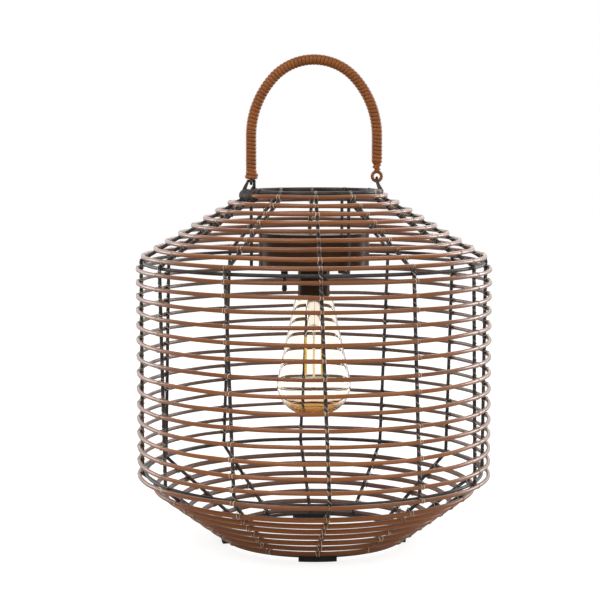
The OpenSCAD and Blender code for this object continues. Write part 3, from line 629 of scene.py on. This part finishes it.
def ringLine(centre, radius, count):
    # once round in the X-Z plane, from the top, open so that its ends meet
    turns = [2 * pi * k / count for k in range(count + 1)]
    return [Vector(centre) + Vector((radius * sin(a), 0, radius * cos(a))) for a in turns]


def lineLength(points):
    return sum((b - a).length for a, b in zip(points, points[1:]))


def wind(name, line, pitch, outer, inner, width, steps=14, tone=0.5, crest=0.8, taper=0, uneven=0):
    # a strand wound on a straight line with the Screw modifier, then bent along the real line
    s = windingSettings
    turns = max(1, round(lineLength(line) / pitch))
    pitch = lineLength(line) / turns
    deselect()
    bpy.ops.mesh.primitive_circle_add(vertices=s["sectionPoints"], radius=1, rotation=(pi / 2, 0, 0))
    piece = startPiece(name)
    settle(piece)
    for v in piece.data.vertices:
        a = atan2(v.co.z, v.co.x)
        out = (inner + outer) / 2 * mm + rounded(cos(a), crest) * (outer - inner) / 2 * mm
        v.co = (out, 0, rounded(sin(a), s["squareness"]) * width / 2 * mm)
    screw = piece.modifiers.new("winding", "SCREW")
    screw.axis = "Z"
    screw.angle = -2 * pi  # left-handed
    screw.screw_offset = pitch * mm
    screw.iterations = turns
    screw.steps = screw.render_steps = steps
    applyAll(piece)
    closeEnds(piece)
    markWinding(piece, pitch, inner, outer, tone, s)
    for v in piece.data.vertices:
        # the last turns may draw in, and hand-wound wire is never even
        height = v.co.z / mm
        narrow = 1 - s["drawIn"] * min(1, max(0, (height - turns * pitch + taper) / taper)) if taper else 1
        spot = Vector((height / pitch * s["unevenScale"], s["unevenStart"], uneven))
        rough = 1 + uneven * noise.noise(spot)
        v.co = (v.co.x * narrow * rough, v.co.y * narrow * rough, v.co.z)
    bendAlong(piece, line)
    pick(piece)
    bpy.ops.object.shade_smooth()
    return piece


def closeEnds(piece):
    pick(piece)
    bpy.ops.object.mode_set(mode="EDIT")
    bpy.ops.mesh.select_mode(type="VERT")
    bpy.ops.mesh.select_all(action="DESELECT")
    bpy.ops.mesh.select_non_manifold()
    bpy.ops.mesh.edge_face_add()
    bpy.ops.mesh.select_all(action="SELECT")
    bpy.ops.mesh.normals_make_consistent(inside=False)
    bpy.ops.object.mode_set(mode="OBJECT")


def markWinding(piece, pitch, inner, outer, tone, s):
    # outer crest against the sides and inner face near the wire, darker partly with painted shade, and a
    # tone that drifts along the strand
    outerVsInnerShade, shade = caneMarks(piece)
    for v in piece.data.vertices:
        share = -atan2(v.co.y, v.co.x) / (2 * pi)
        turn = round(v.co.z / mm / pitch - share) + share
        depth = (hypot(v.co.x, v.co.y) / mm - inner) / (outer - inner)
        outerVsInnerShade.data[v.index].value = max(0.0, min(1.0, depth * s["outerVsInnerShadeSlope"] - s["outerVsInnerShadeStart"]))
        drift = noise.noise(Vector((turn * s["toneScale"], tone, 0.0)))
        shade.data[v.index].value = tone + s["toneChange"] * drift


def bendAlong(piece, line):
    guide = newCurve(piece.name + "Guide", line)
    guide.data.twist_mode = "MINIMUM"
    bend = piece.modifiers.new("bend", "CURVE")
    bend.object = guide
    bend.deform_axis = "POS_Z"
    applyAll(piece)
    bpy.data.objects.remove(guide)


def addTurns(name, legX, turns, s):
    # thick turns of cane round one leg of the handle, each tilted its own way
    parts = []
    for label, shift, tilt, radius, thick, height in turns:
        deselect()
        bpy.ops.mesh.primitive_torus_add(major_segments=s["turnSteps"], minor_segments=s["strandPoints"],
                                         major_radius=radius * mm, minor_radius=thick * mm,
                                         location=((legX + shift) * mm, s["y"] * mm, height * mm),
                                         rotation=(radians(s["turnLean"]), radians(tilt), 0))
        ring = startPiece(label)
        settle(ring)
        outerVsInnerShade, tone = caneMarks(ring)
        for v in ring.data.vertices:
            outerVsInnerShade.data[v.index].value = 1.0
            tone.data[v.index].value = s["turnTone"]
        parts.append(ring)
    piece = joined(parts, name)
    pick(piece)
    bpy.ops.object.shade_smooth()
    return piece


h = handleSettings
handleWrap = finishPiece(wind("handleCaneWinding", handleLine(h), **h["wrap"]), "handle", "rattan_strand",
                         handleCane)
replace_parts(handleWrap, "handle_wrap")
# the collar: the lower turn level, the upper ones tilted over it
collar = finishPiece(addTurns("collarTurns", -h["legX"], h["collarTurns"], h), "handle", "rattan_strand",
                     handleCane)
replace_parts(collar, "handle_collar")
eyeParts = [
    wind("eyeWinding", ringLine((h["legX"], h["y"], h["eyeHeight"]), h["eyeRadius"], h["eyeSteps"]),
         **h["eye"]),
    wind("neckWinding", [Vector((h["legX"], h["y"], z)) for z in h["neckHeights"]], **h["neck"]),
    addTurns("neckTurns", h["legX"], h["neckTurns"], h),
]
eyeCover = finishPiece(joined(eyeParts, "eyeWindings"), "handle", "rattan_strand", handleCane)
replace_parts(eyeCover, "handle_eye_cover")
print("the handle is wound")

# Fine iron wire wound where the links meet the top ring.
lashingSettings = {
    "left": {"from": -100, "to": -57, "radius": 59.3, "height": 300.2, "pitch": 1.3, "outer": 5.0,
             "inner": 3.8, "width": 1.2},
    "leftEnd": {"from": -63, "to": -52, "radius": 57.0, "height": 303.7, "pitch": 1.2, "outer": 2.75,
                "inner": 1.7, "width": 1.1},
    "right": {"from": 79, "to": 99, "radius": 57.0, "height": 303.7, "pitch": 1.3, "outer": 2.7,
              "inner": 1.7, "width": 1.15},
    "strays": [[(-62.6, 0.8, 301.0), (-60.6, 1.3, 306.5), (-57.8, 1.4, 311.2), (-56.6, 2.0, 312.6),
                (-57.8, 2.7, 309.0), (-60.8, 2.9, 303.0)],
               [(-59.4, 0.6, 301.5), (-58.2, 1.2, 306.5), (-56.5, 1.3, 311.4), (-55.9, 2.0, 312.5)],
               [(-50.6, 0.6, 302.5), (-50.3, 1.3, 307.5), (-50.9, 1.4, 311.8), (-51.3, 2.2, 312.5),
                (-50.8, 2.8, 307.0), (-51.6, 2.9, 303.0)],
               [(-53.2, 0.9, 303.5), (-52.3, 1.2, 306.4), (-51.9, 1.4, 309.8), (-51.6, 1.8, 311.8)]],
    "strayWidth": 1.15, "strayOrder": 4, "straySteps": 6, "strayRoundness": 2,
    "arcSteps": 12, "uneven": 0.2,
}


def windRing(name, part, s):
    # wire wound round a stretch of the top ring
    span = part["to"] - part["from"]
    turns = [part["from"] + span * k / s["arcSteps"] for k in range(s["arcSteps"] + 1)]
    arc = [around(part["radius"], turn, part["height"]) for turn in turns]
    return wind(name, arc, part["pitch"], part["outer"], part["inner"], part["width"], uneven=s["uneven"])


def addStray(name, points, s):
    # a single wire, smoothed, round and closed at its ends
    line = newCurve(name, points, "NURBS")
    line.data.splines[0].use_endpoint_u = True
    line.data.splines[0].order_u = s["strayOrder"]
    line.data.resolution_u = s["straySteps"]
    piece = tubeFrom(line, name, s["strayWidth"], s["strayRoundness"], True)
    closeSkin(piece, reach=0.001 * mm)
    pick(piece)
    bpy.ops.object.shade_smooth()
    return piece


def addLashings(s):
    left = [windRing("lashMass", s["left"], s), windRing("lashEnd", s["leftEnd"], s)]
    for k, points in enumerate(s["strays"]):
        left.append(addStray("stray%d" % (k + 1), points, s))
    return joined(left, "leftLashing"), joined([windRing("lashRight", s["right"], s)], "rightLashing")


def ironMaterial():
    # Iron wire, powder coated in satin black: near black, with thin grey highlights and a slight
    # orange-peel skin.
    material, tree, shader = newMaterial("powderCoatedIron", {"IOR": 1.5})
    place = addNode(tree, "ShaderNodeTexCoord")
    # orange peel about 0.8 mm across, drawn coarser than real so that it shows
    peel = addNode(tree, "ShaderNodeTexNoise", values={"Scale": 1250, "Detail": 1.0},
                   links={"Vector": place.outputs["Object"]})
    # rubbed and dusty places about 12 mm long
    worn = addNode(tree, "ShaderNodeTexNoise", values={"Scale": 85, "Detail": 3.0},
                   links={"Vector": place.outputs["Object"]})
    tint = addNode(tree, "ShaderNodeValToRGB", links={"Fac": worn.outputs["Fac"]})
    for stop, position, colour in zip(tint.color_ramp.elements, (0.35, 0.7), ("#332e2d", "#544d4a")):
        stop.position, stop.color = position, linear(colour)
    tree.links.new(tint.outputs["Color"], shader.inputs["Base Color"])
    rough = addNode(tree, "ShaderNodeMapRange", values={"To Min": 0.3, "To Max": 0.55},
                    links={"Value": worn.outputs["Fac"]})
    tree.links.new(rough.outputs[0], shader.inputs["Roughness"])
    bump = addNode(tree, "ShaderNodeBump", values={"Strength": 0.2, "Distance": 0.1 * mm},
                   links={"Height": peel.outputs["Fac"]})
    tree.links.new(bump.outputs[0], shader.inputs["Normal"])
    return material


def mouldedMaterial(name, values, dark, light, grainSize, depth):
    # Moulded plastic, and the black coat of the lever: a fine grain, its size in mm, and slow flow marks
    # in its colour.
    material, tree, shader = newMaterial(name, values)
    place = addNode(tree, "ShaderNodeTexCoord")
    # flow marks about 22 mm long
    flow = addNode(tree, "ShaderNodeTexNoise", values={"Scale": 45, "Detail": 2.0},
                   links={"Vector": place.outputs["Object"]})
    grain = addNode(tree, "ShaderNodeTexNoise", values={"Scale": 1 / (grainSize * mm), "Detail": 2.0},
                    links={"Vector": place.outputs["Object"]})
    tint = addNode(tree, "ShaderNodeValToRGB", links={"Fac": flow.outputs["Fac"]})
    for stop, position, colour in zip(tint.color_ramp.elements, (0.3, 0.7), (dark, light)):
        stop.position, stop.color = position, linear(colour)
    tree.links.new(tint.outputs["Color"], shader.inputs["Base Color"])
    bump = addNode(tree, "ShaderNodeBump", values={"Strength": depth, "Distance": 0.08 * mm},
                   links={"Height": grain.outputs["Fac"]})
    tree.links.new(bump.outputs[0], shader.inputs["Normal"])
    return material


def platedMaterial():
    # Nickel-plated steel: bright, with fine drawing lines that dull it unevenly.
    material, tree, shader = newMaterial("nickelPlatedSteel", {"Metallic": 1.0})
    place = addNode(tree, "ShaderNodeTexCoord")
    # lines about 0.4 mm apart, coarser than real so that they show
    stretch = addNode(tree, "ShaderNodeMapping", values={"Scale": (300, 300, 2600)},
                      links={"Vector": place.outputs["Object"]})
    lines = addNode(tree, "ShaderNodeTexNoise", values={"Scale": 1.0, "Detail": 3.0},
                    links={"Vector": stretch.outputs[0]})
    tint = addNode(tree, "ShaderNodeValToRGB", links={"Fac": lines.outputs["Fac"]})
    for stop, position, colour in zip(tint.color_ramp.elements, (0.3, 0.7), ("#b3afa6", "#d8d5cd")):
        stop.position, stop.color = position, linear(colour)
    tree.links.new(tint.outputs["Color"], shader.inputs["Base Color"])
    rough = addNode(tree, "ShaderNodeMapRange", values={"To Min": 0.2, "To Max": 0.42},
                    links={"Value": lines.outputs["Fac"]})
    tree.links.new(rough.outputs[0], shader.inputs["Roughness"])
    return material


batterySettings = {"shoulderAt": 9.2, "waver": 0.4, "bareAt": 22.75}


def batteryMaterial(s):
    # Alkaline cell: a printed PVC sleeve, dark with an ochre shoulder, and bare steel at both ends.
    material, tree, shader = newMaterial("shrunkPvcSleeve", {"IOR": 1.53, "Coat Weight": 0.3})
    place = addNode(tree, "ShaderNodeTexCoord")
    apart = addNode(tree, "ShaderNodeSeparateXYZ", links={0: place.outputs["Object"]})
    smear = addNode(tree, "ShaderNodeTexNoise", values={"Scale": 220, "Detail": 3.0},
                    links={"Vector": place.outputs["Object"]})
    # the shoulder starts 9 mm from the middle of the cell, its edge wavering by 0.2 mm
    edge = addNode(tree, "ShaderNodeMath", {"operation": "MULTIPLY_ADD"}, {1: s["waver"] * mm},
                   {0: smear.outputs["Fac"], 2: apart.outputs["Y"]})
    shoulder = addNode(tree, "ShaderNodeMath", {"operation": "GREATER_THAN"}, {1: s["shoulderAt"] * mm},
                       {0: edge.outputs[0]})
    length = addNode(tree, "ShaderNodeMath", {"operation": "ABSOLUTE"}, links={0: apart.outputs["Y"]})
    bare = addNode(tree, "ShaderNodeMath", {"operation": "GREATER_THAN"}, {1: s["bareAt"] * mm},
                   {0: length.outputs[0]})
    sleeve = addNode(tree, "ShaderNodeMix", {"data_type": "RGBA"},
                     {6: linear("#2a2b2c"), 7: linear("#b08436")}, {0: shoulder.outputs[0]})
    whole = addNode(tree, "ShaderNodeMix", {"data_type": "RGBA"}, {7: linear("#c4c1ba")},
                    {0: bare.outputs[0], 6: sleeve.outputs[2]})
    shade = addNode(tree, "ShaderNodeMapRange", values={"To Min": 0.85, "To Max": 1.1},
                    links={"Value": smear.outputs["Fac"]})
    scaled = addNode(tree, "ShaderNodeVectorMath", {"operation": "SCALE"},
                     links={0: whole.outputs[2], "Scale": shade.outputs[0]})
    tree.links.new(scaled.outputs[0], shader.inputs["Base Color"])
    tree.links.new(bare.outputs[0], shader.inputs["Metallic"])
    rough = addNode(tree, "ShaderNodeMapRange", values={"To Min": 0.25, "To Max": 0.45},
                    links={"Value": smear.outputs["Fac"]})
    tree.links.new(rough.outputs[0], shader.inputs["Roughness"])
    return material


def boardMaterial():
    # Glass-fibre laminate under green solder mask: the weave shows faintly, and copper lies raised under
    # the mask.
    material, tree, shader = newMaterial("maskedLaminate",
                                         {"Roughness": 0.35, "IOR": 1.55, "Coat Weight": 0.4})
    place = addNode(tree, "ShaderNodeTexCoord")
    # yarns about 0.9 mm apart, coarser than real so that they show
    weave = addNode(tree, "ShaderNodeTexWave", {"wave_type": "BANDS", "bands_direction": "DIAGONAL"},
                    {"Scale": 520, "Distortion": 0.6}, {"Vector": place.outputs["Object"]})
    # copper in fields of about 2 mm by 1 mm
    tracks = addNode(tree, "ShaderNodeTexBrick",
                     values={"Scale": 260, "Mortar Size": 0.06, "Color1": linear("#1d5a35"),
                             "Color2": linear("#1a5030"), "Mortar": linear("#123a22")},
                     links={"Vector": place.outputs["Object"]})
    shade = addNode(tree, "ShaderNodeMapRange", values={"To Min": 0.9, "To Max": 1.12},
                    links={"Value": weave.outputs["Fac"]})
    scaled = addNode(tree, "ShaderNodeVectorMath", {"operation": "SCALE"},
                     links={0: tracks.outputs["Color"], "Scale": shade.outputs[0]})
    tree.links.new(scaled.outputs[0], shader.inputs["Base Color"])
    bump = addNode(tree, "ShaderNodeBump", values={"Strength": 0.3, "Distance": 0.05 * mm},
                   links={"Height": tracks.outputs["Fac"]})
    tree.links.new(bump.outputs[0], shader.inputs["Normal"])
    return material


leadSettings = {"redFrom": -24.2}  # the leads to the bulb lie beyond this X, in mm


def leadMaterial(s):
    # PVC-insulated leads: the two to the bulb are red, the two to the switch black, both with a soft sheen.
    material, tree, shader = newMaterial("pvcInsulation", {"Roughness": 0.45, "IOR": 1.53})
    place = addNode(tree, "ShaderNodeTexCoord")
    apart = addNode(tree, "ShaderNodeSeparateXYZ", links={0: place.outputs["Object"]})
    red = addNode(tree, "ShaderNodeMath", {"operation": "GREATER_THAN"}, {1: s["redFrom"] * mm},
                  {0: apart.outputs["X"]})
    tint = addNode(tree, "ShaderNodeMix", {"data_type": "RGBA"},
                   {6: linear("#1c1b1b"), 7: linear("#97211b")}, {0: red.outputs[0]})
    dust = addNode(tree, "ShaderNodeTexNoise", values={"Scale": 400, "Detail": 2.0},
                   links={"Vector": place.outputs["Object"]})
    shade = addNode(tree, "ShaderNodeMapRange", values={"To Min": 0.85, "To Max": 1.12},
                    links={"Value": dust.outputs["Fac"]})
    scaled = addNode(tree, "ShaderNodeVectorMath", {"operation": "SCALE"},
                     links={0: tint.outputs[2], "Scale": shade.outputs[0]})
    tree.links.new(scaled.outputs[0], shader.inputs["Base Color"])
    return material


glassSettings = {"amberAndReflectionFrom": 111.5, "amberAndReflectionTo": 125.0, "clearShare": 0.75, "unevenness": 0.3}


def glassMaterial(name, lowTintAndReflection, tintHigh, rough, ior, s):
    # Blown soda-lime glass: clear with a breath of amber, not quite even; the brown low down is partly a
    # painted reflection.
    material, tree, shader = newMaterial(name, {"Roughness": rough, "IOR": ior, "Transmission Weight": 1.0})
    place = addNode(tree, "ShaderNodeTexCoord")
    drift = addNode(tree, "ShaderNodeTexNoise", values={"Scale": 30, "Detail": 1.0},
                    links={"Vector": place.outputs["Object"]})
    apart = addNode(tree, "ShaderNodeSeparateXYZ", links={0: place.outputs["Object"]})
    # over the lowest 13 mm it turns amber and brown: partly the glass's own tint, partly a painted
    # reflection of the cane around it
    low = addNode(tree, "ShaderNodeMapRange",
                  values={"From Min": s["amberAndReflectionFrom"] * mm, "From Max": s["amberAndReflectionTo"] * mm, "To Min": 0.0,
                          "To Max": s["clearShare"]}, links={"Value": apart.outputs["Z"]})
    share = addNode(tree, "ShaderNodeMath", {"operation": "MULTIPLY_ADD"}, {1: s["unevenness"]},
                    {0: drift.outputs["Fac"], 2: low.outputs[0]})
    tint = addNode(tree, "ShaderNodeValToRGB", links={"Fac": share.outputs[0]})
    for stop, position, colour in zip(tint.color_ramp.elements, (0.38, 0.8), (lowTintAndReflection, tintHigh)):
        stop.position, stop.color = position, linear(colour)
    tree.links.new(tint.outputs["Color"], shader.inputs["Base Color"])
    return material


phosphorSettings = {"paleTo": 3.0, "strongFrom": 5.0}  # mm from the stem


def phosphorMaterial(s):
    # Silicone filled with yellow phosphor over a row of tiny chips: a matt, strong yellow strip, faintly
    # beaded.
    material, tree, shader = newMaterial("phosphorSilicone",
                                         {"Roughness": 0.5, "IOR": 1.41,
                                          "Emission Color": linear("#ffe9a8"), "Emission Strength": 0.12})
    place = addNode(tree, "ShaderNodeTexCoord")
    # beads 2.2 mm apart, coarser than the real chips so that they show
    beads = addNode(tree, "ShaderNodeTexWave", {"wave_type": "BANDS", "bands_direction": "Z"},
                    {"Scale": 145, "Distortion": 0.0}, {"Vector": place.outputs["Object"]})
    tint = addNode(tree, "ShaderNodeValToRGB", links={"Fac": beads.outputs["Fac"]})
    tint.color_ramp.elements[0].color = linear("#dba72e")
    tint.color_ramp.elements[1].color = linear("#f5cf52")
    # the strips before and behind the stem show their pale sides
    apart = addNode(tree, "ShaderNodeSeparateXYZ", links={0: place.outputs["Object"]})
    aside = addNode(tree, "ShaderNodeMath", {"operation": "ABSOLUTE"}, links={0: apart.outputs["X"]})
    outer = addNode(tree, "ShaderNodeMapRange",
                    values={"From Min": s["paleTo"] * mm, "From Max": s["strongFrom"] * mm},
                    links={"Value": aside.outputs[0]})
    strip = addNode(tree, "ShaderNodeMix", {"data_type": "RGBA"}, {6: linear("#efe0c4")},
                    {0: outer.outputs[0], 7: tint.outputs["Color"]})
    tree.links.new(strip.outputs[2], shader.inputs["Base Color"])
    bump = addNode(tree, "ShaderNodeBump", values={"Strength": 0.4, "Distance": 0.1 * mm},
                   links={"Height": beads.outputs["Fac"]})
    tree.links.new(bump.outputs[0], shader.inputs["Normal"])
    return material


powderCoatedIron = ironMaterial()
leftLashing, rightLashing = addLashings(lashingSettings)
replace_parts(finishPiece(leftLashing, "cage", "iron_wire", powderCoatedIron), "lashing_left")
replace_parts(finishPiece(rightLashing, "cage", "iron_wire", powderCoatedIron), "lashing_right")
print("wire is lashed round the ring")

slotMaterials = {
    "iron_wire": powderCoatedIron,
    "rattan_strand": varnishedCane,
    "foot_rubber": mouldedMaterial("mouldedRubber", {"Roughness": 0.75, "IOR": 1.52}, "#1f1f20", "#2b2b2b",
                                   grainSize=0.5, depth=0.5),
    "case_plastic": mouldedMaterial("glossyAbs",
                                    {"Roughness": 0.24, "IOR": 1.53, "Specular IOR Level": 0.1}, "#402c20",
                                    "#4d3828", grainSize=0.7, depth=0.06),
    "tray_plastic": mouldedMaterial("mattAbs", {"Roughness": 0.6, "IOR": 1.53}, "#222222", "#2c2c2b",
                                    grainSize=0.4, depth=0.4),
    "lever_metal": mouldedMaterial("blackenedBrass", {"Roughness": 0.35, "IOR": 1.5}, "#2a2423", "#3b3331",
                                   grainSize=0.5, depth=0.1),
    "plated_steel": platedMaterial(),
    "battery_sleeve": batteryMaterial(batterySettings),
    "board_laminate": boardMaterial(),
    "component_plastic": mouldedMaterial("mouldedEpoxy", {"Roughness": 0.55, "IOR": 1.55}, "#1d1d1f",
                                         "#2b2a2c", grainSize=0.3, depth=0.4),
    "wire_sleeve": leadMaterial(leadSettings),
    # the low tint is amber with a painted reflection of the cane in it
    "bulb_glass": glassMaterial("blownBulbGlass", "#b3863f", "#fef8f0", rough=0.0, ior=1.18,
                                s=glassSettings),
    "stem_glass": glassMaterial("pressedStemGlass", "#f3e6df", "#faf6f2", rough=0.08, ior=1.3,
                                s=glassSettings),
    "filament_phosphor": phosphorMaterial(phosphorSettings),
}
for part in frame["record"]["subparts"]:
    node = nodes[part["node"]]
    node.data.materials.clear()
    node.data.materials.append(slotMaterials[part["material_slot"]])
print("every CAD node has its finish")
